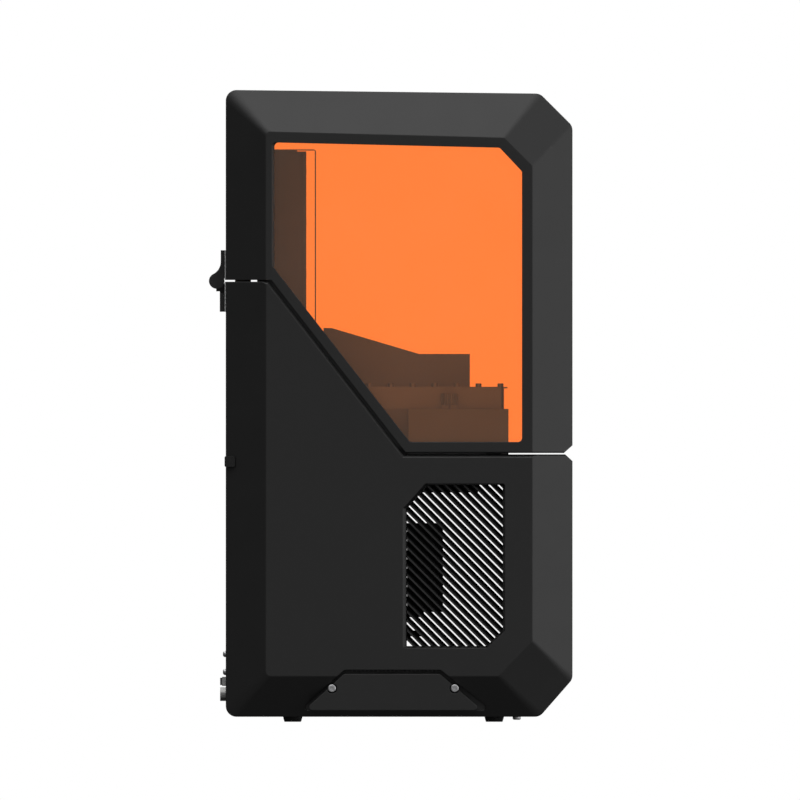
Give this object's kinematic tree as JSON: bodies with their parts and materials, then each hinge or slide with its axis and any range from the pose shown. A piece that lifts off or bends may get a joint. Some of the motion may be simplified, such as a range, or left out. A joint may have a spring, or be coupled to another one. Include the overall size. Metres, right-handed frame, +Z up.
{
  "type": "resin 3d printer",
  "caption": "Flip-lid desktop resin printer: bevelled black body, tinted windows, vat on a raised platform, build plate on a screw-driven column.",
  "frame": {"origin": "on the table under the middle of the bounding box, hinge included", "axes": "+Z up, the front with the touch screen faces -Y, +X is to the right of someone who faces that front"},
  "size_m": [0.28, 0.3544, 0.6159],
  "materials": {
    "black_shell": "fine matt texture",
    "black_inner": "matt",
    "grey_fitting": "satin",
    "jack_metal": "satin nickel",
    "shim_grey": "matt",
    "black_sheet": "matt powder coat",
    "amber_pane": "tinted acrylic",
    "hinge_black": "satin black",
    "screw_steel": "satin",
    "pin_steel": "ground",
    "rubber_black": "matt",
    "glossy_black": "gloss",
    "fan_plastic": "satin",
    "carbon_pad": "fibrous",
    "board_green": "solder mask",
    "mast_alu": "anodised",
    "motor_steel": "satin",
    "screen_glass": "polished",
    "vat_alu": "black anodised",
    "film_clear": "clear film",
    "knob_black": "satin",
    "block_steel": "ground",
    "arm_dark": "black anodised",
    "plate_alu": "sandblasted"
  },
  "bodies": {
    "base": {"base_side_left": "black_shell", "base_side_right": "black_shell", "base_front_panel": "black_shell", "base_rear_panel": "black_shell", "skirt_plates": "black_shell", "inner_cheeks": "black_inner", "side_grilles": "black_inner", "fan_frames": "black_inner", "filter_box": "black_inner", "cable_duct": "black_inner", "light_housing": "black_inner", "switch_housing": "grey_fitting", "power_jack": "jack_metal", "hinge_shims_base": "shim_grey", "base_bottom_panel": "black_sheet", "deck_plate": "black_sheet", "vat_platform": "black_sheet", "inner_frame": "black_sheet", "mast_cover": "black_sheet", "hinge_leaves_base": "hinge_black", "case_screws": "screw_steel", "skirt_screws": "screw_steel", "hinge_pins": "pin_steel", "usb_port": "pin_steel", "feet": "rubber_black", "rubber_stops": "rubber_black", "touch_screen": "glossy_black", "filter_cartridge": "carbon_pad", "circuit_boards": "board_green", "mast": "mast_alu", "rails": "mast_alu", "top_bearing": "mast_alu", "heat_sink": "mast_alu", "drive_motor": "motor_steel", "lcd_screen": "screen_glass", "vat_frame": "vat_alu", "vat_rim_screws": "vat_alu", "vat_film": "film_clear"},
    "lid": {"lid_side_left": "black_shell", "lid_side_right": "black_shell", "lid_front_panel": "black_shell", "lid_top_cover": "black_shell", "side_windows": "amber_pane", "window_front": "amber_pane", "window_clips": "black_inner", "hinge_leaves_lid": "hinge_black", "hinge_screws_lid": "screw_steel", "hinge_shims_lid": "shim_grey"},
    "carriage": {"bearing_blocks": "block_steel", "carriage_plate": "arm_dark", "arm": "arm_dark", "platform_mount": "arm_dark", "build_plate": "plate_alu"},
    "lead_screw": {"lead_screw": "pin_steel"},
    "cooling_fan": {"cooling_fan_rotor": "fan_plastic"},
    "exhaust_fan": {"exhaust_fan_rotor": "fan_plastic"},
    "vat_knob_right": {"vat_knob_right": "knob_black"},
    "vat_knob_left": {"vat_knob_left": "knob_black"},
    "platform_knob": {"platform_knob": "knob_black"},
    "switch_rocker": {"switch_rocker": "glossy_black"}
  },
  "joints": [
    {"name": "lid_hinge", "type": "hinge", "parent": "base", "child": "lid", "pos_m": [0, 0.1696, 0.4297], "axis": [-1, 0, 0], "range_deg": [0, 80]},
    {"name": "z_travel", "type": "slide", "parent": "base", "child": "carriage", "axis": [0, 0, 1], "range_m": [0, 0.2]},
    {"name": "screw_turn", "type": "hinge", "parent": "base", "child": "lead_screw", "pos_m": [0, 0.1078, 0.4], "axis": [0, 0, 1], "continuous": true},
    {"name": "cooling_fan_spin", "type": "hinge", "parent": "base", "child": "cooling_fan", "pos_m": [0, -0.0307, 0.1504], "axis": [0, 1, 0], "continuous": true},
    {"name": "exhaust_fan_spin", "type": "hinge", "parent": "base", "child": "exhaust_fan", "pos_m": [0.05, 0.1453, 0.15], "axis": [0, 1, 0], "continuous": true},
    {"name": "vat_knob_right_turn", "type": "hinge", "parent": "base", "child": "vat_knob_right", "pos_m": [0.1186, -0.0572, 0.31], "axis": [0, 0, 1], "range_deg": [0, 360]},
    {"name": "vat_knob_left_turn", "type": "hinge", "parent": "base", "child": "vat_knob_left", "pos_m": [-0.1186, -0.0572, 0.31], "axis": [0, 0, 1], "range_deg": [0, 360]},
    {"name": "platform_knob_turn", "type": "hinge", "parent": "carriage", "child": "platform_knob", "pos_m": [0, -0.0214, 0.35], "axis": [0, 0, 1], "range_deg": [0, 180]},
    {"name": "switch_tip", "type": "hinge", "parent": "base", "child": "switch_rocker", "pos_m": [-0.038, 0.1613, 0.0394], "axis": [0, 0, 1], "range_deg": [-8, 8]}
  ],
  "couplings": [
    {"joint": "screw_turn", "follows": "z_travel", "rad_per_m": -1570.8}
  ]
}
